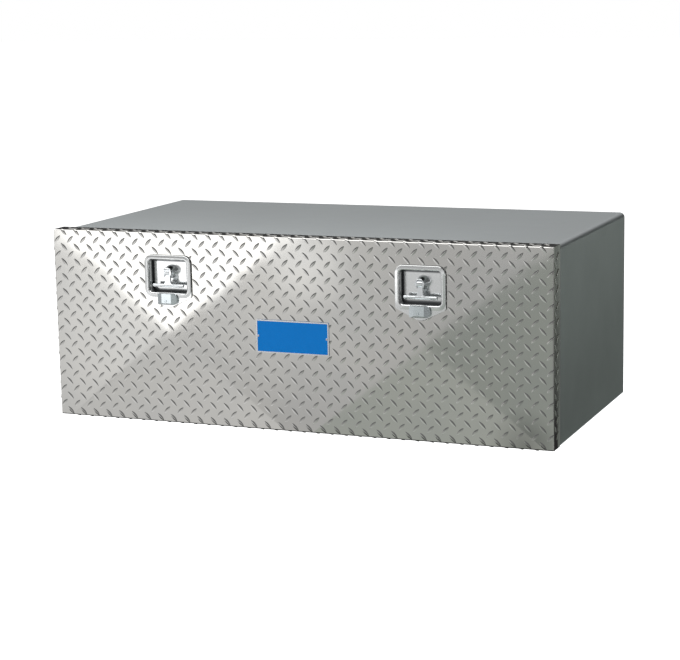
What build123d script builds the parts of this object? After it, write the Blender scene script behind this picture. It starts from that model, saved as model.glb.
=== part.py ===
from build123d import *
import os

# An underbody tool box for a truck, folded from aluminium sheet, with one drop-down door of tread
# plate. Two folding T-handle latches hold the door's top edge to the front frame of the cabinet.
# Millimetres. X runs across, Y from the door to the back, Z up. The origin is the middle of the
# cabinet's underside, which is the face that the box rests or is bolted on.

os.makedirs("parts", exist_ok=True)

# The cabinet, measured over its sheets.
cabinet_width = 1203.0
cabinet_depth = 589.6
cabinet_height = 444.5
cabinet_sheet = 3.2
roof_bend = 12.0
panel_bend = 4.5
panel_flange = 25.0

# The front frame, whose rails fold back into the cabinet and forward into a lip round the opening.
rail_width = 38.0
rail_return = 28.0
rail_bend = 4.5
lip_depth = 12.0

# The door, a folded pan that stands in front of the frame and overhangs the cabinet's sides and
# roof. Its tread plate is measured over the raised bars.
door_side = 8.1
door_rise = 5.5
door_depth = 50.0
door_gap = 2.0
door_bend = 4.0
tread_sheet = 2.5
inner_sheet = 1.5
inner_edge = 12.0
inner_bend = 2.5

# The rubber seal on the lip.
seal_bulb = 3.7
seal_wall = 2.4
seal_grip = 6.0
seal_gap = 0.3

# The continuous hinge under the door, which stops short of the cabinet's sides.
hinge_end = 11.5
hinge_leaf = 2.0
leaf_width = 25.0
pin_radius = 2.4
knuckle_pitch = 59.0
knuckle_gap = 0.5
hinge_standoff = 0.6
ground_gap = 0.5
rivet_pitch = 118.0
rivet_edge = 7.0
rivet_radius = 1.95
rivet_head = 4.2
rivet_rise = 1.4

# The latches: a stainless recess with a folding T-handle, a cam behind the frame and a lock below.
latch_offset = 308.0
latch_drop = 92.0
throat_half = 48.0
throat_high = 29.0
throat_low = 47.0
throat_corner = 8.0
recess_depth = 21.0
latch_sheet = 1.5
bead_width = 11.0
bead_rise = 2.8
bead_lip = 4.0
flange_shoulder = 56.0
flange_tip = 84.0
shoulder_radius = 8.0
tip_radius = 25.0
gasket_sheet = 1.5
backing_sheet = 2.0
backing_inset = 1.0
stud_radius = 2.0
stud_length = 14.0
stud_high = 15.0
stud_low = 33.0
stud_nut_height = 3.2
stud_nut_radius = 4.0

# The handle and its spindle.
pivot_depth = 2.0
handle_reach = 30.5
handle_half = 40.0
bar_radius = 4.0
bar_round = 3.0
stem_width = 12.0
stem_sheet = 6.6
stem_flare = 9.0
eye_radius = 7.5
handle_pin = 2.5
hub_radius = 15.5
hub_rim = 3.0
nose_radius = 11.5
nose_round = 1.5
nose_rise = 4.5
shaft_radius = 8.0
bush_wall = 2.0
bush_flange = 15.0
bush_sheet = 2.0
spindle_square = 11.0
thread_radius = 5.5
spindle_nut_radius = 10.0
spindle_nut_height = 6.5
washer_radius = 11.5
washer_sheet = 1.5
thread_end = 2.0
spindle_hole = 12.0

# The cam and the striker plate that it draws up to.
cam_sheet = 4.0
cam_hub = 12.0
cam_tip = 8.0
cam_reach = 50.0
cam_gap = 0.4
striker_width = 60.0
striker_high = 22.0
striker_sheet = 1.5
striker_drop = 5.0
striker_chamfer = 1.0
striker_rivet_inset = 8.4

# The lock under each handle.
lock_drop = 64.5
boss_half = 24.0
boss_high = 16.5
boss_low = 9.5
boss_rise = 12.0
boss_facet = 12.0
boss_slope = 5.0
boss_chin = 4.0
boss_corner = 9.0
boss_top_corner = 2.0
barrel_radius = 7.5
barrel_length = 14.0
plug_radius = 5.0
plug_sunk = 0.4
key_width = 1.2
key_high = 5.0
key_depth = 4.0
blade_sheet = 1.5
blade_width = 8.0
blade_reach = 14.0
tail_square = 5.0
tail_end = 0.7
lock_nut_radius = 11.5
lock_nut_height = 3.0

# The stiffeners between the door's two sheets, and the blank plate at its middle.
stiffener_offset = 150.0
stiffener_crest = 40.0
stiffener_foot = 14.0
stiffener_bend = 2.5
stiffener_margin = 30.0
plate_width = 178.0
plate_high = 76.0
plate_sheet = 1.0
plate_border = 3.0
plate_edge = 0.5
plate_corner = 3.0
plate_height_share = 0.49
plate_rivet = 2.5
plate_rivet_inset = 5.0
plate_rivet_rise = 1.2

# Clearances: between parts that turn in one another, between parts that are fixed in one another,
# and between parts that only pass by. The overrun lets a cut run past the faces that it cuts.
running = 0.05
seated = 0.02
passing = 0.4
hole_room = 0.3
cut_room = 1.0
overrun = 5.0

# Sizes and places that follow from them.
door_width = cabinet_width + 2 * door_side
door_top = cabinet_height + door_rise
hinge_length = cabinet_width - 2 * hinge_end
front = -cabinet_depth / 2
back = cabinet_depth / 2
inner_half = cabinet_width / 2 - cabinet_sheet
ceiling = cabinet_height - cabinet_sheet
opening_half = inner_half - rail_width
opening_low = rail_width
opening_high = ceiling - rail_width
lip_half = opening_half + cabinet_sheet

knuckle_radius = pin_radius + running + hinge_leaf
hinge_y = front - hinge_standoff - knuckle_radius
hinge_z = ground_gap + knuckle_radius

door_low = ground_gap + hinge_leaf
door_face = front - door_gap - door_depth
skin_back = door_face + tread_sheet
inner_back = front - lip_depth - seal_bulb - seal_gap
inner_front = inner_back - inner_sheet

latch_z = door_top - latch_drop
latch_front = door_face - gasket_sheet - latch_sheet
flange_half = throat_half + bead_width
flange_top = throat_high + bead_width
recess_back = recess_depth + latch_sheet
stud_x = throat_half + bead_width / 2
cam_front = front + cabinet_sheet + striker_sheet + cam_gap - latch_front
cam_back = cam_front + cam_sheet


def box(x_low, x_high, y_low, y_high, z_low, z_high):
    """A block between two corners."""
    middle = Pos((x_low + x_high) / 2, (y_low + y_high) / 2, (z_low + z_high) / 2)
    return middle * Box(x_high - x_low, y_high - y_low, z_high - z_low)


def across(face, x_low, x_high):
    """An outline in Y and Z, drawn out along X."""
    return Pos(x_low, 0, 0) * extrude(Plane.YZ * face, x_high - x_low)


def upright(face, z_low, z_high):
    """An outline in X and Y, drawn out along Z."""
    return Pos(0, 0, z_low) * extrude(face, z_high - z_low)


def facing(face, y_low, y_high):
    """An outline seen from the front, in X and Z, drawn out along Y."""
    return Pos(0, y_high, 0) * extrude(Plane.XZ * face, y_high - y_low)


def disc(radius, y_low, y_high, x=0, z=0):
    """A round along Y."""
    return facing(Pos(x, z) * Circle(radius), y_low, y_high)


def folded(points, sheet, bend, side):
    """The section of a folded sheet whose one face follows the points."""
    line = FilletPolyline(*points, radius=bend)
    return make_face(offset(line, sheet, side=side, closed=True))


def tray(width, height, depth, sheet, bend):
    """A sheet with its four edges folded back: its face lies at Y 0, its lower edge at Z 0."""
    half = width / 2
    outer = box(-half, half, 0, depth, 0, height)
    outer = fillet(outer.faces().sort_by(Axis.Y)[0].edges(), bend)
    inner = box(sheet - half, half - sheet, sheet, depth + overrun, sheet, height - sheet)
    inner = fillet(inner.faces().sort_by(Axis.Y)[0].edges(), bend - sheet)
    return outer - inner


def steps(length, pitch):
    """Evenly spaced places along a length, symmetric about its middle."""
    count = max(2, round(length / pitch))
    pitch = length / count
    return [(index + 0.5) * pitch - length / 2 for index in range(count)]


def save(node, shape):
    """Write one node's solids."""
    shape.label = node
    export_step(shape, "parts/" + node + ".step")


# The cabinet's roof and sides are one sheet with rounded bends. The floor and the back are trays
# whose folded edges lie against it.

def rounded_top(half, top, bend):
    outline = RectangleRounded(2 * half, 2 * top, bend)
    return outline & Pos(0, top) * Rectangle(2 * half, 2 * top)


def inside(y_low, y_high):
    """The room inside the bent sheet."""
    return facing(rounded_top(inner_half, ceiling, roof_bend - cabinet_sheet), y_low, y_high)


def body_wrap():
    outer = facing(rounded_top(cabinet_width / 2, cabinet_height, roof_bend), front, back)
    room = inside(front - overrun, back + overrun)
    below = box(-inner_half, inner_half, front - overrun, back + overrun, -overrun, cabinet_sheet)
    return outer - room - below


def back_panel():
    below = panel_flange
    panel = Pos(0, back, -below) * Rot(0, 0, 180) * tray(
        2 * inner_half, ceiling + below, panel_flange, cabinet_sheet, panel_bend)
    floor_room = box(-cabinet_width, cabinet_width, back - panel_flange - overrun,
                     back - cabinet_sheet, -overrun, panel_flange + cut_room)
    return (panel - floor_room) & inside(front, back + overrun)


def floor_panel():
    start = front + rail_return
    length = back - cabinet_sheet - start + overrun
    sheet = Pos(0, back - cabinet_sheet, 0) * Rot(90, 0, 0) * tray(
        2 * inner_half, length, panel_flange, cabinet_sheet, panel_bend)
    return sheet - box(-cabinet_width, cabinet_width, start - cabinet_depth, start,
                       -overrun, cabinet_height)


# The front frame: a header and a sill between the sides, and two jambs between header and sill.
# Each rail's front face is flush with the cabinet's edge, and its lip stands forward of it.

def rail_line(base, crest):
    """The outer line of a rail, from its return to its lip."""
    return [(front + rail_return, base), (front, base), (front, crest), (front - lip_depth, crest)]


def trimmed(rail):
    """The lip ends at the corners of the opening."""
    for side in (-1, 1):
        low, high = sorted((side * lip_half, side * cabinet_width))
        rail -= box(low, high, front - lip_depth - overrun, front, 0, cabinet_height)
    return rail


def sill():
    line = rail_line(0, opening_low - cabinet_sheet)
    section = folded(line, cabinet_sheet, rail_bend, Side.RIGHT)
    return trimmed(across(section, -inner_half, inner_half))


def header():
    line = rail_line(ceiling, opening_high + cabinet_sheet)
    section = folded(line, cabinet_sheet, rail_bend, Side.LEFT)
    rail = trimmed(across(section, -inner_half, inner_half))
    for side in (-1, 1):
        for rivet in (-1, 1):
            place = side * latch_offset + rivet * striker_rivet_x
            rail -= disc(rivet_radius + seated, front - overrun, front + rail_return,
                         place, striker_z)
    return rail & inside(front - lip_depth - overrun, back)


def jamb(side):
    line = [(side * inner_half, front + rail_return), (side * inner_half, front),
            (side * lip_half, front), (side * lip_half, front - lip_depth)]
    turn = Side.RIGHT if side > 0 else Side.LEFT
    section = folded(line, cabinet_sheet, rail_bend, turn)
    return upright(section, opening_low, opening_high)


striker_z = opening_high + striker_drop + striker_high / 2
striker_rivet_x = striker_width / 2 - striker_rivet_inset


def striker(side):
    """The plate behind the header that the cam bears on, with ramped long edges."""
    start = front + cabinet_sheet
    plate = facing(Rectangle(striker_width, striker_high), start, start + striker_sheet)
    plate = chamfer(plate.faces().sort_by(Axis.Y)[-1].edges(), striker_chamfer)
    for rivet in (-1, 1):
        plate -= disc(rivet_radius + seated, front, start + overrun, rivet * striker_rivet_x)
    return Pos(side * latch_offset, 0, striker_z) * plate


def round_rivet(radius, head, rise, grip, tail):
    """A round-headed rivet along Y: its head stands forward of Y 0, its tail behind the grip."""
    dome = chamfer(disc(head, -rise, 0).faces().sort_by(Axis.Y)[0].edges(), rise / 2)
    return dome + disc(radius, 0, grip) + disc(tail, grip, grip + rise)


def striker_rivets():
    grip = cabinet_sheet + striker_sheet
    rivet = round_rivet(rivet_radius, rivet_head, rivet_rise / 2, grip, rivet_radius)
    places = [side * latch_offset + end * striker_rivet_x for side in (-1, 1) for end in (-1, 1)]
    return Compound([Pos(x, front, striker_z) * flush_tail(rivet, grip) for x in places])


def flush_tail(rivet, grip):
    """Cut a rivet's tail off level with the sheet that it holds."""
    return rivet - box(-overrun, overrun, grip, grip + 2 * overrun, -overrun, overrun)


# The seal grips the lip on both sides and its bulb meets the door's inner sheet.

def frame_face(grow):
    """The opening's outline, grown by a distance."""
    width = 2 * (opening_half + grow)
    height = opening_high - opening_low + 2 * grow
    return Pos(0, (opening_high + opening_low) / 2) * Rectangle(width, height)


def door_seal():
    start = front - lip_depth
    bulb = frame_face(cabinet_sheet + seal_wall) - frame_face(-seal_wall)
    bulb = facing(bulb, start - seal_bulb, start)
    bulb = chamfer(bulb.faces().sort_by(Axis.Y)[0].edges(), seal_wall / 2)
    outer_grip = frame_face(cabinet_sheet + seal_wall) - frame_face(cabinet_sheet)
    inner_grip = frame_face(0) - frame_face(-seal_wall)
    return bulb + facing(outer_grip + inner_grip, start, start + seal_grip)


# The continuous hinge: one leaf on the sill, one under the door's lower edge, rolled in turn round
# one pin. The knuckles are evenly pitched, with the sill's leaf at both ends.

knuckle_count = 2 * max(2, round(hinge_length / knuckle_pitch / 2)) - 1
knuckle_step = hinge_length / knuckle_count


def knuckles(own):
    """The spans of one leaf's knuckles along X: even ones are the sill's."""
    spans = []
    for index in range(own, knuckle_count, 2):
        start = index * knuckle_step - hinge_length / 2
        spans.append((start, start + knuckle_step))
    return spans


def rolled(leaf, own):
    """Roll a leaf's knuckles, and notch it for the other leaf's."""
    reach = knuckle_radius + knuckle_gap
    pin_line = Pos(hinge_y, hinge_z)
    for low, high in knuckles(1 - own):
        notch = pin_line * Rectangle(2 * reach, 2 * reach)
        leaf -= across(notch, low - knuckle_gap / 2, high + knuckle_gap / 2)
    for low, high in knuckles(own):
        roll = pin_line * Circle(knuckle_radius)
        leaf += across(roll, low + knuckle_gap / 2, high - knuckle_gap / 2)
    bore = pin_line * Circle(pin_radius + running)
    return leaf - across(bore, -hinge_length / 2 - overrun, hinge_length / 2 + overrun)


rivet_row = steps(hinge_length, rivet_pitch)
sill_rivet_z = hinge_z + leaf_width - rivet_edge
door_rivet_y = hinge_y - leaf_width + rivet_edge
door_grip = hinge_leaf + tread_sheet + inner_sheet


def sill_rivet_holes():
    hole = disc(rivet_radius + seated, front - overrun, front + overrun + cabinet_sheet)
    return [Pos(x, 0, sill_rivet_z) * hole for x in rivet_row]


def door_rivet_holes():
    hole = Pos(0, door_rivet_y, 0) * Cylinder(rivet_radius + seated, door_depth)
    return [Pos(x, 0, 0) * hole for x in rivet_row]


def sill_leaf():
    leaf = box(-hinge_length / 2, hinge_length / 2, front - hinge_leaf, front,
               hinge_z, hinge_z + leaf_width)
    return rolled(leaf, 0) - sill_rivet_holes()


def door_leaf():
    leaf = box(-hinge_length / 2, hinge_length / 2, hinge_y - leaf_width, hinge_y,
               ground_gap, door_low)
    return rolled(leaf, 1) - door_rivet_holes()


def hinge_pin():
    return across(Pos(hinge_y, hinge_z) * Circle(pin_radius), -hinge_length / 2, hinge_length / 2)


def sill_rivets():
    rivet = round_rivet(rivet_radius, rivet_head, rivet_rise, hinge_leaf + cabinet_sheet,
                        rivet_head)
    return Compound([Pos(x, front - hinge_leaf, sill_rivet_z) * rivet for x in rivet_row])


def door_rivets():
    rivet = round_rivet(rivet_radius, rivet_head, rivet_rise, door_grip, rivet_radius)
    rivet = Rot(-90, 0, 0) * flush_tail(rivet, door_grip)
    return Compound([Pos(x, door_rivet_y, ground_gap + door_grip) * rivet for x in rivet_row])


# The door: a pan of tread plate, a flat inner tray that closes it, and two hat sections between.

def latch_face(grow):
    """The recess seen from the front, grown by a distance."""
    width = 2 * (throat_half + grow)
    height = throat_high + throat_low + 2 * grow
    middle = Pos(0, (throat_high - throat_low) / 2)
    return middle * RectangleRounded(width, height, throat_corner + grow)


def latch_places():
    return [Pos(side * latch_offset, latch_front, latch_z) for side in (-1, 1)]


def mounting_holes():
    """What a sheet leaves open for the recess, its studs and the lock barrel."""
    cut = latch_face(latch_sheet + cut_room)
    for x in (-stud_x, stud_x):
        for z in (stud_high, -stud_low):
            cut += Pos(x, z) * Circle(stud_radius + hole_room)
    return cut + Pos(0, -lock_drop) * Circle(barrel_radius + hole_room)


def door_skin():
    skin = Pos(0, door_face, door_low) * tray(
        door_width, door_top - door_low, door_depth, tread_sheet, door_bend)
    half = hinge_length / 2 + cut_room
    skin -= box(-half, half, hinge_y - knuckle_radius - cut_room, front, 0,
                hinge_z + knuckle_radius)
    hole = facing(mounting_holes(), 0, recess_depth / 2)
    skin -= [place * hole for place in latch_places()]
    skin -= door_rivet_holes()
    return skin - plate_rivet_holes()


def door_inner_panel():
    low = door_low + tread_sheet
    panel = Pos(0, inner_back, low) * Rot(0, 0, 180) * tray(
        door_width - 2 * tread_sheet, door_top - tread_sheet - low, inner_edge,
        inner_sheet, inner_bend)
    hole = disc(spindle_hole, 0, cam_front)
    panel -= door_rivet_holes()
    return panel - [place * hole for place in latch_places()]


def door_stiffeners():
    crest = stiffener_crest / 2
    foot = crest + stiffener_foot
    room = inner_front - inner_sheet
    line = [(-foot, room), (-crest, room), (-crest, skin_back),
            (crest, skin_back), (crest, room), (foot, room)]
    section = folded(line, inner_sheet, stiffener_bend, Side.LEFT)
    hat = upright(section, door_low + stiffener_margin, door_top - stiffener_margin)
    return Compound([Pos(x, 0, 0) * hat for x in (-stiffener_offset, stiffener_offset)])


# The blank plate at the door's middle, riveted at its two ends.

plate_z = door_low + plate_height_share * (door_top - door_low)
plate_rivet_x = plate_width / 2 - plate_rivet_inset


def plate_rivet_holes():
    return [disc(plate_rivet / 2 + seated, door_face - overrun, skin_back + overrun, x, plate_z)
            for x in (-plate_rivet_x, plate_rivet_x)]


def nameplate():
    start = door_face - plate_sheet
    outline = RectangleRounded(plate_width, plate_high, plate_corner)
    plate = facing(outline, start, door_face)
    field = RectangleRounded(plate_width - 2 * plate_border, plate_high - 2 * plate_border,
                             plate_corner / 2)
    plate -= facing(field, start - overrun, start + plate_edge)
    for x in (-plate_rivet_x, plate_rivet_x):
        plate += disc(plate_rivet, start, door_face, x)
    return Pos(0, 0, plate_z) * plate - plate_rivet_holes()


def nameplate_rivets():
    grip = plate_sheet + tread_sheet
    rivet = round_rivet(plate_rivet / 2, plate_rivet, plate_rivet_rise, grip, plate_rivet)
    return Compound([Pos(x, door_face - plate_sheet, plate_z) * rivet
                     for x in (-plate_rivet_x, plate_rivet_x)])


# The latch pan: a pressed stainless recess. One sheet runs up its wall, over a rounded bead round
# the opening and down to the gasket, and spreads below into a point that carries the lock. These
# pieces are drawn about the spindle's axis, with Y 0 at the front of the flange.

def flange_face():
    corner = throat_corner + bead_width
    line = FilletPolyline((-flange_half, -flange_shoulder), (-flange_half, flange_top),
                          (flange_half, flange_top), (flange_half, -flange_shoulder),
                          (0, -flange_tip), radius=[shoulder_radius, corner, corner,
                                                    shoulder_radius, tip_radius], close=True)
    return make_face(line)


def latch_pan():
    line = [(throat_half, recess_depth), (throat_half, -bead_rise),
            (flange_half, -bead_rise / 2), (flange_half, latch_sheet)]
    edge = FilletPolyline(*line, radius=[bead_lip, latch_sheet])
    section = make_face(offset(edge, latch_sheet, side=Side.LEFT, closed=True))
    middle = (throat_high - throat_low) / 2
    path = (Plane.XZ * latch_face(0)).wire()
    pan = sweep(Pos(0, 0, middle) * section, path=path)
    pan += facing(latch_face(latch_sheet), recess_depth, recess_back)
    spread = flange_face() - latch_face(bead_width - latch_sheet)
    pan += facing(spread, 0, latch_sheet)
    for x in (-stud_x, stud_x):
        for z in (stud_high, -stud_low):
            pan += disc(stud_radius, -bead_rise / 2, stud_length, x, z)
    pan -= disc(bush_radius + seated, recess_depth - overrun, recess_back + overrun)
    return pan - disc(barrel_radius + seated, -overrun, overrun, 0, -lock_drop)


def latch_sheet_piece(start, sheet):
    """A flat piece behind the flange, cut as the door is."""
    return facing(offset(flange_face(), -backing_inset) - mounting_holes(), start, start + sheet)


gasket_start = latch_sheet
backing_start = latch_sheet + gasket_sheet + tread_sheet
nut_start = backing_start + backing_sheet


def stud_nuts():
    outline = RegularPolygon(stud_nut_radius, 6) - Circle(stud_radius + seated)
    nut = facing(outline, nut_start, nut_start + stud_nut_height)
    return Compound([Pos(x, 0, z) * nut for x in (-stud_x, stud_x)
                     for z in (stud_high, -stud_low)])


# The spindle turns in a flanged bush in the floor of the recess. Its head is a clevis for the
# handle's eye, and behind the door it has a square for the cam and a thread for the nut.

bush_radius = shaft_radius + running + bush_wall
hub_back = recess_depth - passing


def spindle_bush():
    bush = disc(bush_radius, recess_depth, recess_back + bush_sheet)
    bush += disc(bush_flange, recess_back, recess_back + bush_sheet)
    return bush - disc(shaft_radius + running, 0, 2 * recess_depth)


def spindle():
    """The shaft and its head, a round hub that narrows to the front and is slotted for the handle."""
    profile = make_face(Polyline((0, -nose_rise), (nose_radius, -nose_rise),
                                 (hub_radius, hub_back - hub_rim), (hub_radius, hub_back),
                                 (0, hub_back), close=True))
    nose = profile.vertices().filter_by_position(Axis.X, nose_radius, nose_radius)
    hub = revolve(fillet(nose, nose_round), Axis.Y)
    slot = stem_width / 2 + passing
    room = eye_radius + passing
    hub -= across(Pos(pivot_depth, 0) * Circle(room), -slot, slot)
    hub -= box(-slot, slot, -2 * hub_radius, pivot_depth, -room, room)
    hub -= box(-slot, slot, -2 * hub_radius, pivot_depth + room, -2 * hub_radius, 0)
    pin_hole = across(Pos(pivot_depth, 0) * Circle(handle_pin + seated), -2 * hub_radius,
                      2 * hub_radius)
    square = facing(Rectangle(spindle_square, spindle_square), cam_front, cam_back)
    shaft = disc(shaft_radius, hub_back, cam_front)
    return hub - pin_hole + shaft + square + disc(thread_radius, cam_back, spindle_end)


washer_end = cam_back + washer_sheet
nut_end = washer_end + spindle_nut_height
spindle_end = nut_end + thread_end


def handle_pivot():
    return across(Pos(pivot_depth, 0) * Circle(handle_pin), -nose_radius, nose_radius)


def t_handle():
    """The folding handle at rest, its bar below its eye and level with the recess's bead."""
    tee = Pos(0, -handle_reach / 2) * Rectangle(stem_width, handle_reach)
    tee += Pos(0, -handle_reach) * Rectangle(handle_half, bar_radius)
    neck = tee.vertices().filter_by_position(Axis.X, -stem_width, stem_width)
    neck = neck.filter_by_position(Axis.Y, -handle_reach, -handle_reach + bar_radius)
    tee = fillet(neck, stem_flare)
    web = facing(tee, -stem_sheet / 2, stem_sheet / 2)
    eye = across(Circle(eye_radius), -stem_width / 2, stem_width / 2)
    bar = across(Pos(0, -handle_reach) * Circle(bar_radius), -handle_half, handle_half)
    bar = fillet(bar.edges().filter_by(GeomType.CIRCLE), bar_round)
    bore = across(Circle(handle_pin + running), -hub_radius, hub_radius)
    return Pos(0, pivot_depth, 0) * (web + eye + bar - bore)


def cam(side):
    """The arm on the spindle's square: it lies towards the middle of the door until it is turned."""
    far = Pos(-side * cam_reach, 0)
    outline = make_hull((Circle(cam_hub).edges() + (far * Circle(cam_tip)).edges()))
    hole = Rectangle(spindle_square + 2 * seated, spindle_square + 2 * seated)
    return facing(outline - hole, cam_front, cam_back)


def cam_washer():
    return facing(Circle(washer_radius) - Circle(thread_radius + seated), cam_back, washer_end)


def cam_nut():
    outline = RegularPolygon(spindle_nut_radius, 6) - Circle(thread_radius + seated)
    return facing(outline, washer_end, nut_end)


# The lock: a faceted housing over the flange's point, whose barrel passes through the door and is
# held by a nut. A keyed plug turns in it and swings a blade under the recess.

def lock_housing():
    outline = make_face(FilletPolyline(
        (-boss_half, boss_high), (boss_half, boss_high), (boss_half, -boss_low),
        (-boss_half, -boss_low), radius=[boss_top_corner, boss_corner, boss_corner,
                                         boss_top_corner], close=True))
    crest = boss_half - boss_facet
    facets = make_face(Polyline(
        (-boss_half, 0), (-boss_half, boss_slope - boss_rise), (-crest, -boss_rise),
        (crest, -boss_rise), (boss_half, boss_slope - boss_rise), (boss_half, 0), close=True))
    chin = make_face(Polyline((0, boss_high), (-boss_rise, boss_high),
                              (-boss_rise, boss_chin - boss_low),
                              (boss_chin - boss_rise, -boss_low), (0, -boss_low), close=True))
    boss = facing(outline, -boss_rise, 0) & upright(facets, -2 * boss_low, 2 * boss_high)
    boss &= across(chin, -2 * boss_half, 2 * boss_half)
    step = lock_drop - throat_low - bead_width - passing
    bead_room = box(-cabinet_width, cabinet_width, -bead_rise - passing, overrun, step, throat_low)
    boss = boss - bead_room + disc(barrel_radius, 0, barrel_length)
    return boss - disc(plug_radius + running, -2 * boss_rise, 2 * barrel_length)


plug_end = barrel_length + passing


def lock_plug():
    start = plug_sunk - boss_rise
    plug = disc(plug_radius, start, plug_end)
    key = facing(Rectangle(key_width, key_high), start - overrun, start + key_depth)
    tail = facing(Rectangle(tail_square, tail_square), plug_end,
                  plug_end + blade_sheet + tail_end)
    return plug - key + tail


def lock_blade(side):
    """The flat arm behind the plug, which lies level until the key is turned."""
    far = Pos(-side * (blade_reach - blade_width / 2), 0)
    outline = make_hull((Circle(blade_width / 2).edges()
                         + (far * Circle(blade_width / 2)).edges()))
    hole = Rectangle(tail_square + 2 * seated, tail_square + 2 * seated)
    return facing(outline - hole, plug_end, plug_end + blade_sheet)


def lock_nut():
    outline = RegularPolygon(lock_nut_radius, 6) - Circle(barrel_radius + seated)
    return facing(outline, nut_start, nut_start + lock_nut_height)


# Everything is written where it stands on the closed box.

save("body_wrap", body_wrap())
save("floor_panel", floor_panel())
save("back_panel", back_panel())
save("header", header())
save("sill", sill() - sill_rivet_holes())
save("left_jamb", jamb(-1))
save("right_jamb", jamb(1))
save("left_striker", striker(-1))
save("right_striker", striker(1))
save("striker_rivets", striker_rivets())
save("door_seal", door_seal())
save("hinge_sill_leaf", sill_leaf())
save("hinge_pin", hinge_pin())
save("sill_rivets", sill_rivets())
save("hinge_door_leaf", door_leaf())
save("door_rivets", door_rivets())
save("door_skin", door_skin())
save("door_inner_panel", door_inner_panel())
save("door_stiffeners", door_stiffeners())
save("nameplate", nameplate())
save("nameplate_rivets", nameplate_rivets())

for name, side in (("left", -1), ("right", 1)):
    place = Pos(side * latch_offset, latch_front, latch_z)
    lock_place = place * Pos(0, 0, -lock_drop)
    save(name + "_latch_pan", place * latch_pan())
    save(name + "_latch_gasket", place * latch_sheet_piece(gasket_start, gasket_sheet))
    save(name + "_backing_plate", place * latch_sheet_piece(backing_start, backing_sheet))
    save(name + "_stud_nuts", place * stud_nuts())
    save(name + "_spindle_bush", place * spindle_bush())
    save(name + "_spindle", place * spindle())
    save(name + "_handle_pin", place * handle_pivot())
    save(name + "_t_handle", place * t_handle())
    save(name + "_cam", place * cam(side))
    save(name + "_cam_washer", place * cam_washer())
    save(name + "_cam_nut", place * cam_nut())
    save(name + "_lock_housing", lock_place * lock_housing())
    save(name + "_lock_nut", lock_place * lock_nut())
    save(name + "_lock_plug", lock_place * lock_plug())
    save(name + "_lock_blade", lock_place * lock_blade(side))
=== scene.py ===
from math import cos, pi, radians, sin, tan

import bpy
from mathutils import Matrix, Vector


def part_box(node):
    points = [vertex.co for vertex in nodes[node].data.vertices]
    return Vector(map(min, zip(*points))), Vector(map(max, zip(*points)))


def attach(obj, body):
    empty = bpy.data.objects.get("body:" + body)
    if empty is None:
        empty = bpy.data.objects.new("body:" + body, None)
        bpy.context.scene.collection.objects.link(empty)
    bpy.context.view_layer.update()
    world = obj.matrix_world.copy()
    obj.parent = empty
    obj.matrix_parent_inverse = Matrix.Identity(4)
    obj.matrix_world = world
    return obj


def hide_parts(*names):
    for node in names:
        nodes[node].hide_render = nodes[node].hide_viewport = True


# The whole tool box: a cabinet folded from plain aluminium sheet and a drop-down door of tread
# plate, seen from in front and to its right, from a little above the roof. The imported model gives
# every place and size, and what follows dresses it piece by piece.

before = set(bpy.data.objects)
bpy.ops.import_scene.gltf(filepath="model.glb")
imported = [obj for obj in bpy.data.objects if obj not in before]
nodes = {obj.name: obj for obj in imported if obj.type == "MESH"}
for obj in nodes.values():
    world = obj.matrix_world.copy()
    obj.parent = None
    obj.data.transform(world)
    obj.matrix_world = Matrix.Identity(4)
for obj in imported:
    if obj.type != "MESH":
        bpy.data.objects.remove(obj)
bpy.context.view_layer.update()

viewpoint = Vector((1.708, -4.203, 1.020))
turned_left = radians(22.43)
tipped_down = radians(10.52)
leaned = radians(-1.14)
picture_width = 680
focal_pixels = 1907.0
sensor_width = 36.0

ahead = Vector((-sin(turned_left) * cos(tipped_down), cos(turned_left) * cos(tipped_down),
                -sin(tipped_down)))
level = Vector((cos(turned_left), sin(turned_left), 0))
upward = level.cross(ahead)
across = level * cos(leaned) + upward * sin(leaned)
upright = upward * cos(leaned) - level * sin(leaned)


def put(name, data):
    """A new object in the scene."""
    made = bpy.data.objects.new(name, data)
    bpy.context.scene.collection.objects.link(made)
    return made


camera = put("camera", bpy.data.cameras.new("camera"))
camera.data.sensor_width = sensor_width
camera.data.lens = focal_pixels / picture_width * sensor_width
camera.data.clip_end = 60.0
camera.matrix_world = (Matrix.Translation(viewpoint)
                       @ Matrix((across, upright, -ahead)).transposed().to_4x4())
bpy.context.scene.camera = camera
bpy.context.scene.view_settings.view_transform = "Standard"


# The studio: a white floor, low enough for the open door to hang past level, that runs back into a
# white surround. The lamps light what is matt. Bare metal shows the room instead, and the cards
# that are laid for it.

class Value:
    """A number, colour or vector inside a finish, which can be used in sums."""

    def __init__(self, recipe, socket):
        self.recipe = recipe
        self.socket = socket

    def maths(self, operation, first, second):
        return self.recipe.node("Math", {"operation": operation}, {0: first, 1: second})

    def __add__(self, other):
        return self.maths("ADD", self, other)

    def __radd__(self, other):
        return self.maths("ADD", other, self)

    def __sub__(self, other):
        return self.maths("SUBTRACT", self, other)

    def __rsub__(self, other):
        return self.maths("SUBTRACT", other, self)

    def __mul__(self, other):
        return self.maths("MULTIPLY", self, other)

    def __rmul__(self, other):
        return self.maths("MULTIPLY", other, self)

    def __truediv__(self, other):
        return self.maths("DIVIDE", self, other)

    def __rtruediv__(self, other):
        return self.maths("DIVIDE", other, self)

    def __gt__(self, other):
        return self.maths("GREATER_THAN", self, other)

    def __abs__(self):
        return self.maths("ABSOLUTE", self, 0.0)


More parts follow.
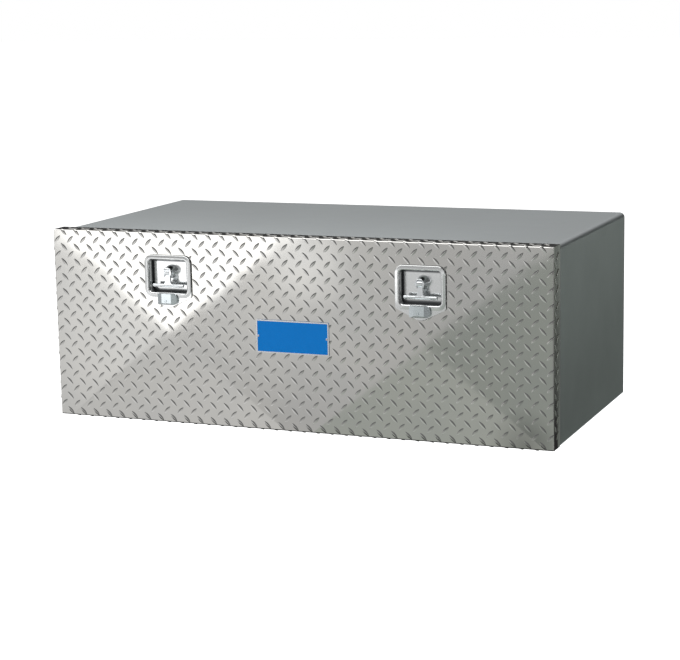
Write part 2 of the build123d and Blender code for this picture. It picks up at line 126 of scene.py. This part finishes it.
class Recipe:
    """The nodes of one finish, or of the world."""

    def __init__(self, owner):
        owner.use_nodes = True
        self.owner = owner
        self.tree = owner.node_tree
        self.tree.nodes.clear()

    def node(self, kind, settings, sockets, output=0):
        """Make a node: its settings first, then the values or links of its sockets."""
        made = self.tree.nodes.new("ShaderNode" + kind)
        for name, value in settings.items():
            if name == "stops":
                self.fill_ramp(made.color_ramp, value)
            else:
                setattr(made, name, value)
        for name, value in sockets.items():
            if isinstance(value, Value):
                self.tree.links.new(value.socket, made.inputs[name])
            else:
                made.inputs[name].default_value = value
        return Value(self, made.outputs[output]) if made.outputs else None

    def fill_ramp(self, ramp, stops):
        """A ramp's stops, each a place and a shade from black to white."""
        for index, (place, shade) in enumerate(stops):
            stop = ramp.elements[index] if index < 2 else ramp.elements.new(place)
            stop.position = place
            stop.color = grey(shade)

    def ramp(self, value, *stops):
        return self.node("ValToRGB", {"stops": stops}, {0: value})

    def rising(self, value, low, high):
        """0 up to a low value, 1 from a high one on, and an even change between them."""
        return self.ramp(value, (low, 0.0), (high, 1.0))

    def falling(self, value, low, high):
        """1 up to a low value, 0 from a high one on, and an even change between them."""
        return self.ramp(value, (low, 1.0), (high, 0.0))

    def larger(self, first, second):
        return self.node("Math", {"operation": "MAXIMUM"}, {0: first, 1: second})

    def mix(self, share, first, second):
        """Between two colours, by a share from 0 to 1. Their sockets share names with others."""
        return self.node("Mix", {"data_type": "RGBA"}, {0: share, 6: first, 7: second}, 2)

    def scaled(self, vector, scale):
        """A vector or colour with each of its parts multiplied."""
        return self.node("VectorMath", {"operation": "MULTIPLY"}, {0: vector, 1: scale})

    def place(self, stretch=(1, 1, 1)):
        """Where a point lies on the object, in metres, stretched along its axes."""
        return self.scaled(self.node("TexCoord", {}, {}, "Object"), stretch)

    def part(self, spot, axis):
        """One coordinate of a place."""
        return self.node("SeparateXYZ", {}, {0: spot}, axis)

    def noise(self, spot, scale, detail=2.0, roughness=0.5):
        return self.node("TexNoise", {}, {"Vector": spot, "Scale": scale, "Detail": detail,
                                          "Roughness": roughness})

    def facing(self, axis):
        """How far the surface looks along an axis, from -1 to 1."""
        looks = self.node("TexCoord", {}, {}, "Normal")
        return self.node("VectorMath", {"operation": "DOT_PRODUCT"}, {0: looks, 1: axis}, "Value")

    def path(self, name):
        """1 where the light path is of that kind, and 0 elsewhere."""
        return self.node("LightPath", {}, {}, name)

    def emission(self, colour):
        return self.node("Emission", {}, {"Color": colour, "Strength": 1.0})

    def end(self, shader):
        kind = "OutputWorld" if isinstance(self.owner, bpy.types.World) else "OutputMaterial"
        self.node(kind, {}, {"Surface": shader})
        return self.owner


def blank_finish(name):
    """The recipe of a new material, still empty."""
    return Recipe(bpy.data.materials.new(name))


def grey(shade):
    return (shade, shade, shade, 1)


def dimmed(colour, share):
    """An opaque colour, with a share of another's brightness."""
    return [share * part for part in colour[:3]] + [1]


def seen_white(recipe):
    """1 for rays from the camera, and for those that metal or glass sends on."""
    seen = recipe.path("Is Camera Ray") + recipe.path("Is Glossy Ray")
    return seen + recipe.path("Is Transmission Ray")


def mesh_object(name, corners, faces):
    mesh = bpy.data.meshes.new(name)
    mesh.from_pydata([tuple(corner) for corner in corners], [], faces)
    mesh.update()
    return put(name, mesh)


floor_reach = 30.0
floor_drop = 0.2
floor_glow = 0.97
paper_shade = 0.55

floor = mesh_object("floor", [(x * floor_reach, y * floor_reach, -floor_drop)
                              for x, y in ((-1, -1), (1, -1), (1, 1), (-1, 1))], [(0, 1, 2, 3)])
paper = blank_finish("white_paper")
matt = paper.node("BsdfDiffuse", {}, {"Color": grey(paper_shade)})
glow = paper.emission(floor_glow * seen_white(paper))
floor.data.materials.append(paper.end(paper.node("AddShader", {}, {0: matt, 1: glow})))

white = grey(1)
room_light = 0.45
behind_low = 0.06
behind_high = 0.97
front_low = 0.50
front_high = 0.14
lost_to_right = 0.66

# The room changes with the direction: from front to back, from the middle to the right, and upward.
world = bpy.data.worlds.new("surround")
bpy.context.scene.world = world
room = Recipe(world)
direction = room.node("TexCoord", {}, {}, "Generated")
to_back = room.rising(room.part(direction, "Y"), 0.0, 0.35)
to_right = room.rising(room.part(direction, "X"), 0.05, 0.5)
raised = room.rising(room.part(direction, "Z"), 0.22, 0.38)
lowered = room.falling(room.part(direction, "Z"), 0.35, 0.60)
behind = raised * (behind_high - behind_low) + behind_low
in_front = lowered * (front_low - front_high) + front_high
seen_in_metal = (to_back * (behind - in_front) + in_front) * (1 - to_right * lost_to_right)
ambient = room.node("Background", {}, {"Color": white, "Strength": room_light})
reflected = room.node("Background", {}, {"Color": seen_in_metal, "Strength": 1.0})
surround = room.node("Background", {}, {"Color": white, "Strength": 1.0})
shown = room.node("MixShader", {}, {0: room.path("Is Glossy Ray"), 1: ambient, 2: reflected})
shown = room.node("MixShader", {}, {0: room.path("Is Camera Ray"), 1: shown, 2: surround})
room.end(shown)


def lamp(name, place, target, size, power):
    """A soft square lamp. Bare metal doesn't show it."""
    light = bpy.data.lights.new(name, "AREA")
    light.shape = "SQUARE"
    light.size = size
    light.energy = power
    made = put(name, light)
    made.location = place
    made.rotation_mode = "QUATERNION"
    made.rotation_quaternion = (Vector(target) - Vector(place)).to_track_quat("-Z", "Y")
    made.visible_glossy = False


lamp("key_lamp", (-2.2, -3.6, 3.0), (0, 0, 0.2), 2.4, 90.0)
lamp("top_lamp", (0.6, 0.6, 3.4), (0, 0, 0), 2.4, 60.0)


def card(name, height, outline, brightness, tint=(1, 1, 1)):
    """A level card, given by the x and y of each corner, that only bare metal shows. Its brightness
    is a number, or a function that adds the nodes of one to the card's recipe."""
    made = mesh_object(name, [(x, y, height) for x, y in outline], [tuple(range(len(outline)))])
    for kind in ("camera", "diffuse", "shadow", "transmission"):
        setattr(made, "visible_" + kind, False)
    paint = blank_finish(name)
    shade = (paint.scaled(brightness(paint), tint) if callable(brightness)
             else dimmed(tint, brightness))
    made.data.materials.append(paint.end(paint.emission(shade)))


skin_low, skin_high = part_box("door_skin")
layer_step = 0.0003
stand_off = skin_low.y - viewpoint.y


def door_card(name, layer, brightness, glows, outline, tint=(1, 1, 1)):
    """A card that the door shows at a place of its face, given by metres right of and below the
    face's top left corner. Each glow is such a place, how far it reaches and how much it adds in
    its middle."""
    laid = []
    for right, down in outline:
        spot = Vector((skin_low.x + right, skin_low.y, skin_high.z - down))
        away = Vector((spot.x - viewpoint.x, viewpoint.y - spot.y, spot.z - viewpoint.z))
        point = spot + away * spot.z / (viewpoint.z - spot.z)
        laid.append((point.x, point.y))

    def with_glows(paint):
        floor_spot = paint.place()
        nearness = stand_off / (stand_off + skin_low.y - paint.part(floor_spot, "Y"))
        right = (paint.part(floor_spot, "X") - viewpoint.x) * nearness + viewpoint.x - skin_low.x
        down = nearness * viewpoint.z + skin_high.z - viewpoint.z
        on_door = paint.node("CombineXYZ", {}, {0: right, 1: down})
        total = brightness
        for middle_right, middle_down, reach, gain in glows:
            apart = paint.node("VectorMath", {"operation": "DISTANCE"},
                               {0: on_door, 1: (middle_right, middle_down, 0)}, "Value")
            total = paint.falling(apart / reach, 0.0, 1.0) * gain + total
        return total

    card(name, layer * layer_step, laid, with_glows if glows else brightness, tint)


shaded_corner = (1.150, 0.440, 0.085, -0.25)
door_card("card_under_all", 1, 0.68, [(0.645, 0.045, 0.13, 0.45), (0.600, 0.070, 0.35, 0.30),
                                      (0.320, 0.220, 0.32, 0.15)],
          [(-0.3, -0.06), (1.5, -0.06), (1.5, 0.449), (-0.3, 0.449)])
door_card("card_left", 2, 0.85, [(0.200, 0.120, 0.40, 0.50)],
          [(-0.3, -0.06), (-0.085, -0.06), (0.300, 0.230), (0.150, 0.345), (0.030, 0.449),
           (-0.3, 0.449)])
door_card("card_low_left", 3, 0.87, [], [(0.030, 0.449), (0.300, 0.230), (0.590, 0.449)])
door_card("card_low_right", 4, 0.58, [shaded_corner],
          [(0.925, 0.232), (1.200, 0.449), (0.650, 0.449)], (0.96, 1.01, 0.95))
door_card("card_bright", 5, 2.4, [], [(-0.085, -0.06), (0.680, -0.06), (0.300, 0.230)])
door_card("card_dim", 6, 0.45, [shaded_corner],
          [(1.5, -0.2), (1.205, 0.018), (0.925, 0.232), (1.200, 0.449), (1.5, 0.449)],
          (0.94, 1.01, 0.95))


def square_card(name, height, first, last, brightness, tint=(1, 1, 1)):
    """A card with its edges along x and y, given by two opposite corners."""
    outline = [first, (last[0], first[1]), last, (first[0], last[1])]
    card(name, height, outline, brightness, tint)


under_door_cards = 0.0001
among_door_cards = 0.001
over_door_cards = 0.002
topmost = 0.0021
overhead = 0.95
cabinet_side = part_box("body_wrap")[1].x
for number, (near, far, brightness) in enumerate(((-0.006, 0.5, 0.19), (0.5, 1.4, 0.27),
                                                  (1.4, 8.4, 0.37))):
    square_card("card_right_%d" % number, among_door_cards, (cabinet_side + near, -0.3),
                (cabinet_side + far, 12.0), brightness, (0.95, 1.04, 0.96))
card("card_beside_flange", over_door_cards,
     [(0.606, -0.37), (0.606, -0.32), (1.50, 2.82), (1.50, 2.74)], 0.03)
square_card("card_front_right", under_door_cards, (0.612, -0.3), (3.5, -4.0), 0.30)
card("card_front_left", under_door_cards,
     [(-0.63, -0.36), (-5.0, -0.36), (-5.0, -4.0), (-2.2, -4.0)], 0.50)
square_card("card_under_door", topmost, (-0.62, -0.364), (0.62, -0.296), 0.03)
square_card("card_over_edge", overhead, (-1.10, -0.95), (0.45, -0.15), 3.0)


# The cabinet's sheets: plain mill-finish aluminium, 3.2 mm thick, bent on a brake and welded at the
# joins. The rolled grain runs along each sheet, with faint smears and a dull, cold grey surface.

def finished(recipe, **sockets):
    """End a finish with its surface. Spaces in the sockets' names are written as underscores."""
    surface = recipe.node("BsdfPrincipled", {}, {name.replace("_", " "): value
                                                 for name, value in sockets.items()})
    return recipe.end(surface)


def bump(recipe, height, depth, share=1.0):
    """Relief of a given depth in metres."""
    return recipe.node("Bump", {}, {"Height": height, "Distance": depth, "Strength": share})


def open_air(recipe, reach):
    """How freely a place is open to the air around it, from 0 deep in a corner to 1."""
    return recipe.node("AmbientOcclusion", {"samples": 8}, {"Distance": reach}, "AO")


grain_across = 900.0
grain_along = 12.0
# How far the painted shade in corners and crevices reaches, and its dark tone.
crevice_shade_reach = 0.03
crevice_shade_tone = grey(0.08)


def mill_sheet(name, colour, along, gloss=0.36):
    """Rolled sheet whose grain runs along one axis, with painted shade in its corners."""
    recipe = blank_finish(name)
    stretch = [grain_across] * 3
    stretch["XYZ".index(along)] = grain_along
    grain = recipe.noise(recipe.place(stretch), 1.0, 3.0)
    smear = recipe.noise(recipe.place(), 5.0, 4.0, 0.6)
    patch = recipe.rising(smear, 0.3, 0.75)
    tone = recipe.mix(patch * 0.5 + grain * 0.3, colour, dimmed(colour, 0.86))
    # Painted shade: the colour darkens where ambient occlusion finds a corner or crevice.
    crevice_shade = recipe.ramp(open_air(recipe, crevice_shade_reach), (0.35, 0.7), (0.85, 0.0))
    tone = recipe.mix(crevice_shade, tone, crevice_shade_tone)
    return finished(recipe, Base_Color=tone, Metallic=1.0,
                    Roughness=gloss + patch * 0.06 + grain * 0.07,
                    Normal=bump(recipe, grain, 0.00002, 0.5))


def dress(finish, *names):
    """Give CAD nodes their finish."""
    for name in names:
        for place in nodes[name].material_slots:
            place.material = finish


frame_colour = (0.55, 0.56, 0.56, 1)
dress(mill_sheet("mill_aluminium_body", (0.442, 0.472, 0.478, 1), "X"),
      "body_wrap", "floor_panel", "back_panel")
dress(mill_sheet("mill_aluminium_rails", frame_colour, "X", 0.32),
      "header", "sill", "left_striker", "right_striker")
dress(mill_sheet("mill_aluminium_posts", frame_colour, "Z", 0.32), "left_jamb", "right_jamb")


# The door's seal: black sponge rubber, a hollow bulb on a channel that is pushed over the lip round
# the opening. It is cut to length and mitred at the four corners.

seal_low, seal_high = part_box("door_seal")
lip_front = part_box("header")[0].y
lip_sheet = 0.0032
seal_wall = 0.0024
channel_slack = 0.0002
channel_corner = 0.0006
bulb_steps = 10
grip_depth = seal_high.y - lip_front


def seal_section():
    """Its outline: how far out from the opening's edge, and how far behind the lip's front."""
    middle = lip_sheet / 2
    bulb_half = middle + seal_wall
    bulb_deep = lip_front - seal_low.y
    angles = [pi * step / bulb_steps for step in range(bulb_steps + 1)]
    bulb = [(middle + bulb_half * cos(angle), -bulb_deep * sin(angle)) for angle in angles]
    inner = [(-seal_wall, grip_depth - channel_corner), (-seal_wall + channel_corner, grip_depth),
             (-channel_slack, grip_depth), (-channel_slack, 0.0)]
    outer = [(lip_sheet - out, back) for out, back in reversed(inner)]
    return bulb + inner + outer


def bands(rings, count):
    """The faces between rings of corners, each ring to the next and the last to the first."""
    return [(ring * count + step, ring * count + (step + 1) % count,
             (ring + 1) % rings * count + (step + 1) % count, (ring + 1) % rings * count + step)
            for ring in range(rings) for step in range(count)]


def make_seal():
    """The section at each corner of the opening, joined in a ring."""
    half = seal_high.x - lip_sheet - seal_wall
    low = seal_low.z + lip_sheet + seal_wall
    high = seal_high.z - lip_sheet - seal_wall
    section = seal_section()
    corners = []
    for side, at_top in ((-1, False), (1, False), (1, True), (-1, True)):
        for out, back in section:
            corners.append((side * (half + out), lip_front + back,
                            high + out if at_top else low - out))
    return mesh_object("bulb_seal", corners, bands(4, len(section)))


def sponge_rubber(name):
    """Black rubber with fine pores and a little dust."""
    recipe = blank_finish(name)
    pores = recipe.noise(recipe.place(), 900.0, 3.0, 0.6)
    dust = recipe.rising(recipe.noise(recipe.place(), 22.0, 3.0), 0.4, 0.8)
    tone = recipe.mix(dust * 0.35, (0.012, 0.012, 0.013, 1), (0.05, 0.048, 0.045, 1))
    return finished(recipe, Base_Color=tone, Roughness=0.6 + dust * 0.2,
                    Specular_IOR_Level=0.35, Normal=bump(recipe, pores, 0.0002, 0.5))


def smooth(made, limit=radians(40)):
    """Round the shading over faces that meet at less than a limit."""
    made.data.shade_smooth()
    made.data.set_sharp_from_angle(angle=limit)
    return made


def fit(made, body, slot, finish, *stands_for):
    """Give a piece its finish, the body that carries it and the nodes that it stands for."""
    made.data.materials.append(finish)
    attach(made, body)
    if stands_for:
        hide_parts(*stands_for)


rubber = sponge_rubber("sponge_rubber")
fit(smooth(make_seal()), "cabinet", "seal_rubber", rubber, "door_seal")


# The door's skin: bright aluminium tread plate, folded back along its four edges. The sheet is
# rolled with leaning bars in two directions before it is folded, so the bars run on over the folds.

fold_radius = 0.004
bar_rise = 0.0009
bar_length = 0.0245
bar_width = 0.0076
bar_lean = radians(46)
bar_pitch_across = 0.03425
bar_pitch_down = 0.0357
first_bar_across = 0.0288
first_bar_down = 0.0065
bar_runs = 10
bar_ribs = 6
bar_sunk = 0.04
sheet_radius = fold_radius - bar_rise
sheet_edge = skin_high.y - skin_low.y - fold_radius * 0.3
flat_half = Vector((skin_high.x - fold_radius, 0, (skin_high.z - skin_low.z) / 2 - fold_radius))
door_middle = (skin_low.z + skin_high.z) / 2


def plain_sheet():
    """The sheet between the bars: the CAD's skin, whose outer face is at the bars' crests."""
    sheet = nodes["door_skin"].data.copy()
    for vertex in sheet.vertices:
        spot = vertex.co
        core = Vector((min(max(spot.x, skin_low.x + fold_radius), skin_high.x - fold_radius),
                       max(spot.y, skin_low.y + fold_radius),
                       min(max(spot.z, skin_low.z + fold_radius), skin_high.z - fold_radius)))
        away = spot - core
        if away.length > sheet_radius:
            vertex.co = core + away.normalized() * sheet_radius
    sheet.materials.clear()
    return put("tread_sheet", sheet)


def folded(out, flat):
    """How far out and back a point of the flat sheet comes to lie, and which way its face looks."""
    past = abs(out) - flat
    if past <= 0:
        return out, 0.0, 0.0, 1.0
    sign = 1 if out > 0 else -1
    turn = min(past / sheet_radius, pi / 2)
    beyond = max(past - sheet_radius * pi / 2, 0)
    place = sign * (flat + sheet_radius * sin(turn))
    depth = sheet_radius * (1 - cos(turn)) + beyond
    return place, depth, sign * sin(turn), cos(turn)


def on_sheet(right, up, height):
    """Where the folded sheet has a point over the flat one. None at a corner or past its edge."""
    x, back_x, lean_x, face_x = folded(right, flat_half.x)
    z, back_z, lean_z, face_z = folded(up, flat_half.z)
    back = back_x + back_z
    if back_x and back_z or back > sheet_edge:
        return None
    return Vector((x + lean_x * height, skin_low.y + bar_rise + back - face_x * face_z * height,
                   door_middle + z + lean_z * height))


def middle_of(name):
    """The middle of a CAD node."""
    low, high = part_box(name)
    return (low + high) / 2


sides = ("left", "right")
hubs = {side: middle_of(side + "_spindle_bush") for side in sides}
throat_half = 0.048
throat_high = 0.029
throat_low = 0.047


def over_opening(point):
    """Whether a point lies in front of a recess, where the sheet is cut away."""
    return any(abs(point.x - hub.x) < throat_half and -throat_low < point.z - hub.z < throat_high
               for hub in hubs.values())


def add_bar(corners, faces, right, up, lean):
    """One bar, left out where it would run past the sheet's edge or over a notched corner, and on
    the lower flange, where the hinge lies."""
    points = []
    for run in range(bar_runs + 1):
        along = 2 * run / bar_runs - 1
        girth = max(cos(along * pi / 2), 0) ** 0.75
        for rib in range(bar_ribs + 1):
            beside = 2 * rib / bar_ribs - 1
            crown = (1 - abs(beside) ** 1.3) * girth ** 0.8
            rise = bar_rise * ((1 + bar_sunk) * crown - bar_sunk)
            length = along * bar_length / 2
            width = beside * girth * bar_width / 2
            point = on_sheet(right + length * cos(lean) - width * sin(lean),
                             up + length * sin(lean) + width * cos(lean), rise)
            if point is None:
                return
            points.append(point)
    if all(point.y > skin_low.y + fold_radius and point.z < skin_low.z + fold_radius
           for point in points):
        return
    start = len(corners)
    corners.extend(points)
    for run in range(bar_runs):
        for rib in range(bar_ribs):
            first = start + run * (bar_ribs + 1) + rib
            quad = (first, first + bar_ribs + 1, first + bar_ribs + 2, first + 1)
            if not any(over_opening(corners[index]) for index in quad):
                faces.append(quad)


def tread_bars():
    """Every bar of the sheet as one mesh: a low spindle with a rounded back and pointed ends. The
    pattern starts before the flat face and ends after it, for the folds."""
    corners, faces = [], []
    for column in range(-2, int((skin_high.x - skin_low.x) / bar_pitch_across) + 3):
        for row in range(-2, int((skin_high.z - skin_low.z) / bar_pitch_down) + 2):
            for shift, lean in ((0.0, -bar_lean), (0.5, bar_lean)):
                right = skin_low.x + first_bar_across + (column - shift) * bar_pitch_across
                up = skin_high.z - first_bar_down - (row + shift) * bar_pitch_down - door_middle
                add_bar(corners, faces, right, up, lean)
    return mesh_object("tread_bars", corners, faces)


up_and_right = (0.45, 0.0, 0.9)
forward = (0.0, -1.0, 0.0)
faces_forward = 0.85
# The painted highlight for the bars' lower flanks and the painted shade for their upper ones.
painted_flank_highlight = (0.66, 0.655, 0.64, 1)
painted_flank_shade = (0.24, 0.24, 0.235, 1)


def tread_finish(name, barred):
    """Bright rolled plate: clear but not a mirror, with rolling grain and slow waves. The bars
    carry painted shade on their upper flanks and a painted highlight on their lower ones."""
    recipe = blank_finish(name)
    grain = recipe.noise(recipe.place((14.0, 700.0, 700.0)), 1.0, 3.0)
    cloud = recipe.noise(recipe.place(), 7.0, 3.0, 0.55)
    patch = recipe.rising(cloud, 0.35, 0.7)
    tone = recipe.mix(patch * 0.6, (0.56, 0.55, 0.525, 1), (0.50, 0.50, 0.49, 1))
    if barred:
        flank = recipe.facing(up_and_right) * 2.2 + 0.5
        on_face = recipe.facing(forward) > faces_forward
        # Painted highlight and painted shade on the bars' faces, chosen by which way each face
        # looks.
        tone = recipe.mix(recipe.falling(flank, 0.05, 0.35) * on_face, tone, painted_flank_highlight)
        tone = recipe.mix(recipe.rising(flank, 0.35, 0.75) * on_face, tone, painted_flank_shade)
    wave = recipe.noise(recipe.place(), 14.0, 1.0)
    gloss = 0.18 if barred else 0.045
    return finished(recipe, Base_Color=tone, Metallic=1.0,
                    Roughness=gloss + grain * 0.04 + patch * 0.02,
                    Normal=bump(recipe, wave, 0.0006, 0.35))


fit(plain_sheet(), "door", "tread_plate", tread_finish("tread_plate_bright", False), "door_skin")
fit(smooth(tread_bars(), radians(60)), "door", "tread_plate",
    tread_finish("tread_bars_bright", True))


# Behind the skin: a flat aluminium tray that closes the door, and two hat sections riveted between.
# Both are plain sheet, brighter than the cabinet because they are kept out of the weather.

dress(mill_sheet("mill_aluminium_inside", (0.62, 0.63, 0.63, 1), "X", 0.3),
      "door_inner_panel", "door_stiffeners")


# The hinge: a continuous piano hinge of stainless steel with rolled knuckles round one drawn pin,
# held to the sill and under the door by a row of round-headed rivets.

def satin_steel(name, colour, gloss):
    """Steel with a fine drawn grain along the hinge."""
    recipe = blank_finish(name)
    grain = recipe.noise(recipe.place((30.0, 1200.0, 1200.0)), 1.0, 2.0)
    smear = recipe.noise(recipe.place(), 40.0, 3.0)
    tone = recipe.mix(smear * 0.6, colour, dimmed(colour, 0.8))
    return finished(recipe, Base_Color=tone, Metallic=1.0, Roughness=gloss + grain * 0.1,
                    Normal=bump(recipe, grain, 0.00001, 0.5))


def rivet_alloy(name):
    """Plain alloy, scuffed where the rivets were set."""
    recipe = blank_finish(name)
    scuff = recipe.noise(recipe.place(), 500.0, 3.0)
    tone = recipe.mix(scuff, (0.62, 0.62, 0.61, 1), grey(0.48))
    return finished(recipe, Base_Color=tone, Metallic=1.0, Roughness=0.22 + scuff * 0.2,
                    Normal=bump(recipe, scuff, 0.00005, 0.4))


dress(satin_steel("satin_stainless_hinge", (0.60, 0.60, 0.59, 1), 0.24),
      "hinge_sill_leaf", "hinge_door_leaf")
dress(satin_steel("drawn_steel_pin", grey(0.52), 0.2), "hinge_pin")
alloy = rivet_alloy("rivet_alloy")
dress(alloy, "sill_rivets", "door_rivets", "striker_rivets")


# The blank plate: thin aluminium with a raised bare edge and a field of fired blue enamel, held on
# the crests of the tread by a rivet at each end.

plate_low, plate_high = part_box("nameplate")
enamel_depth = 0.00025


def blue_enamel(name):
    """Bare metal where the plate stands proud, enamel where it is sunk."""
    recipe = blank_finish(name)
    sunk = recipe.part(recipe.place(), "Y") > plate_low.y + enamel_depth
    flow = recipe.noise(recipe.place(), 60.0, 2.0)
    blue = recipe.mix(flow * 0.5, (0.002, 0.205, 0.66, 1), (0.003, 0.240, 0.74, 1))
    tone = recipe.mix(sunk, (0.6, 0.61, 0.62, 1), blue)
    return finished(recipe, Base_Color=tone, Metallic=1 - sunk, Roughness=0.24 + sunk * 0.2,
                    Specular_IOR_Level=0.12, Normal=bump(recipe, flow, 0.0002, 0.3))


dress(blue_enamel("blue_enamel_plate"), "nameplate")

rivet_low, rivet_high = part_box("nameplate_rivets")
rivet_radius = 0.0025
rivet_rise = 0.0012
rivet_sunk = 0.0003
rivet_steps = 6
rivet_segments = 20


def rivet_outline():
    """A round head from its foot in the plate to just short of its middle: radius and height."""
    angles = [pi / 2 * step / rivet_steps * 0.97 for step in range(rivet_steps + 1)]
    foot = (rivet_radius * 0.96, -rivet_sunk)
    return [foot] + [(rivet_radius * cos(angle), rivet_rise * sin(angle)) for angle in angles]


def turned(name, profile, places, axis):
    """Round pieces from one outline of radius and height, each set at a place along an axis."""
    turn = Vector((0, 0, 1)).rotation_difference(Vector(axis))
    corners, faces = [], []
    for place in places:
        start = len(corners)
        for radius, height in profile:
            for step in range(rivet_segments):
                angle = 2 * pi * step / rivet_segments
                spot = Vector((radius * cos(angle), radius * sin(angle), height))
                corners.append(Vector(place) + turn @ spot)
        last = start + (len(profile) - 1) * rivet_segments
        for low in range(start, last, rivet_segments):
            high = low + rivet_segments
            for step in range(rivet_segments):
                after = (step + 1) % rivet_segments
                faces.append((low + step, low + after, high + after, high + step))
        faces.append(tuple(start + step for step in reversed(range(rivet_segments))))
        faces.append(tuple(last + step for step in range(rivet_segments)))
    return mesh_object(name, corners, faces)


plate_middle = (plate_low.z + plate_high.z) / 2
plate_rivets = turned("plate_rivets", rivet_outline(),
                      [(x, plate_low.y, plate_middle)
                       for x in (rivet_low.x + rivet_radius, rivet_high.x - rivet_radius)], forward)
fit(smooth(plate_rivets), "door", "rivet_metal", alloy, "nameplate_rivets")


# The latches: each is a stainless recess pressed from one sheet and polished, clamped on a rubber
# gasket. The folding T-handle and its pivot are bright plated castings, and the faceted housing of
# the lock is plated duller.

latch_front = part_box("right_latch_pan")[0].y
recess_half = 0.0455
recess_above = 0.0265
recess_below = 0.0445
# The bands, start and tone of the painted shade in the recesses' corners.
beside_shade = 0.003
above_shade = 0.006
below_shade = 0.007
shade_starts = 0.012
shade_tone = (0.05, 0.054, 0.058, 1)


def corner_shade(recipe):
    """1 in the corners between a recess's walls and its floor, where painted shade darkens them."""
    def past(value, start, per_metre):
        return (value - start) * per_metre

    spot = recipe.place()
    height = recipe.part(spot, "Z")
    hub = hubs["right"]
    deep = past(recipe.part(spot, "Y"), latch_front + shade_starts, 160)
    beside = past(abs(abs(recipe.part(spot, "X")) - hub.x), recess_half - beside_shade, 330)
    above = past(height, hub.z + recess_above - above_shade, 300)
    below = past(hub.z - height, recess_below - below_shade, 200)
    nearest = recipe.larger(beside, recipe.larger(above, below))
    return recipe.rising(nearest, 0.0, 1.0) * recipe.rising(deep, 0.0, 1.0)


def polished(name, colour, gloss, wave_depth, recessed=False):
    """Buffed metal with slow waves and fine rubbing marks."""
    recipe = blank_finish(name)
    rub = recipe.noise(recipe.place((400.0, 400.0, 2500.0)), 1.0, 2.0)
    wave = recipe.noise(recipe.place(), 45.0, 1.0)
    tone = recipe.mix(rub * 0.5, colour, dimmed(colour, 0.9))
    if recessed:
        # Painted shade in the corners of the recess.
        tone = recipe.mix(corner_shade(recipe) * 0.9, tone, shade_tone)
    return finished(recipe, Base_Color=tone, Metallic=1.0, Roughness=gloss + rub * 0.06,
                    Normal=bump(recipe, wave, wave_depth, 0.5))


def moulded_nylon(name):
    """Cream nylon with the faint marks of its flow into the mould."""
    recipe = blank_finish(name)
    flow = recipe.noise(recipe.place(), 120.0, 3.0)
    tone = recipe.mix(flow, (0.62, 0.61, 0.57, 1), (0.55, 0.54, 0.50, 1))
    return finished(recipe, Base_Color=tone, Roughness=0.4 + flow * 0.1,
                    Normal=bump(recipe, flow, 0.0001, 0.3))


def rounded(points, radii, steps=8):
    """A closed outline with each of its corners rounded."""
    outline = []
    for index, (corner, radius) in enumerate(zip(points, radii)):
        here = Vector(corner)
        before = (Vector(points[index - 1]) - here).normalized()
        after = (Vector(points[(index + 1) % len(points)]) - here).normalized()
        half = before.angle(after) / 2
        centre = here + (before + after).normalized() * radius / sin(half)
        start = here + before * radius / tan(half) - centre
        end = here + after * radius / tan(half) - centre
        sweep = start.angle_signed(end)
        for step in range(steps + 1):
            outline.append(centre + Matrix.Rotation(-sweep * step / steps, 2) @ start)
    return outline


gasket_bulge = 0.0003
gasket_shoulder = 0.0561
gasket_top_round = 0.018
gasket_shoulder_round = 0.007
gasket_tip_round = 0.024
lost_at_tip = 0.0044
hole_round = 0.008
hole_bend = 0.00001


def make_gasket(side):
    """A flat rubber ring under the flange, squeezed a little out at its outer edge. Its hole has a
    fifth corner, all but flat, so that both outlines have as many points."""
    low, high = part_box(side + "_latch_gasket")
    hub = hubs[side]
    half, top, tip = (high.x - low.x) / 2, high.z - hub.z, hub.z - low.z + lost_at_tip
    edge = rounded([(-half, -gasket_shoulder), (-half, top), (half, top), (half, -gasket_shoulder),
                    (0, -tip)],
                   [gasket_shoulder_round, gasket_top_round, gasket_top_round,
                    gasket_shoulder_round, gasket_tip_round])
    hole = rounded([(-throat_half, -throat_low), (-throat_half, throat_high),
                    (throat_half, throat_high), (throat_half, -throat_low),
                    (0, -throat_low - hole_bend)], [hole_round] * 5)
    rings = [(hole, high.y, 0.0), (edge, high.y, 0.0), (edge, (low.y + high.y) / 2, gasket_bulge),
             (edge, low.y, 0.0), (hole, low.y, 0.0)]
    corners = []
    for outline, y, grow in rings:
        for point in outline:
            away = point.normalized() * grow
            corners.append((hub.x + point.x + away.x, y, hub.z + point.y + away.y))
    return mesh_object(side + "_gasket", corners, bands(len(rings), len(edge)))


stainless = polished("polished_stainless", (0.70, 0.71, 0.71, 1), 0.15, 0.0002, True)
chrome = polished("bright_plating", (0.72, 0.745, 0.76, 1), 0.12, 0.00004)
zinc = polished("zinc_plating", (0.55, 0.57, 0.60, 1), 0.25, 0.0001)
lock_plating = polished("dull_lock_plating", (0.60, 0.65, 0.67, 1), 0.2, 0.0001)
nylon = moulded_nylon("bush_nylon")
latch_finishes = [(stainless, ["latch_pan"]), (chrome, ["spindle", "t_handle", "handle_pin"]),
                  (lock_plating, ["lock_housing", "lock_plug"]), (nylon, ["spindle_bush"]),
                  (zinc, ["backing_plate", "stud_nuts", "cam", "cam_washer", "cam_nut",
                          "lock_nut", "lock_blade"])]
for side in sides:
    fit(smooth(make_gasket(side)), "door", "seal_rubber", rubber, side + "_latch_gasket")
    for finish, names in latch_finishes:
        dress(finish, *[side + "_" + name for name in names])
